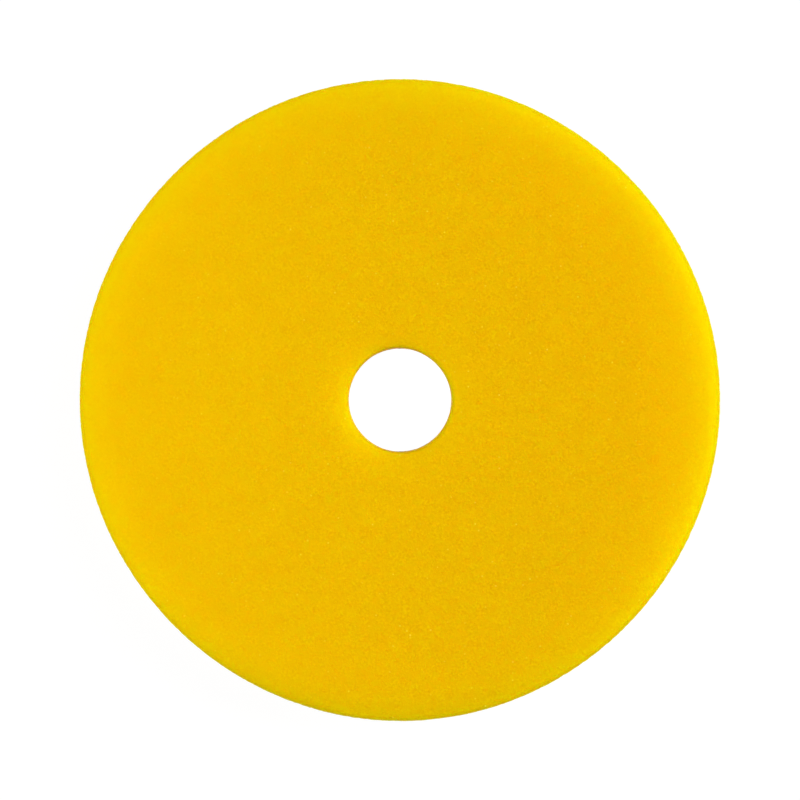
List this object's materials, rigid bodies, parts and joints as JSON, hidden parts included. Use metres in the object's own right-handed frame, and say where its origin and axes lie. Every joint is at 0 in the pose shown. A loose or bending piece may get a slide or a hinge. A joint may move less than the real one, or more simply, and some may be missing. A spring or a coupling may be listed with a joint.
{
  "type": "polishing pad",
  "caption": "Round yellow foam polishing pad with a centre hole, a tapered side and a loop cloth backing for a hook-faced plate.",
  "frame": {"origin": "centre of the hole at the underside of the loops, where the pad rests", "axes": "+Z along the hole's axis, from the loop backing towards the working face of the foam; X and Y lie in the plane of the pad"},
  "size_m": [0.15, 0.15, 0.025],
  "materials": {
    "foam": "matte",
    "bond_film": "satin",
    "loop_coating": "matte",
    "loop_ground": "matte",
    "loop_pile": "matte"
  },
  "bodies": {
    "root": {"foam_pad": "foam", "bond_film": "bond_film", "loop_coating": "loop_coating", "loop_ground": "loop_ground", "loop_pile": "loop_pile"}
  },
  "joints": []
}
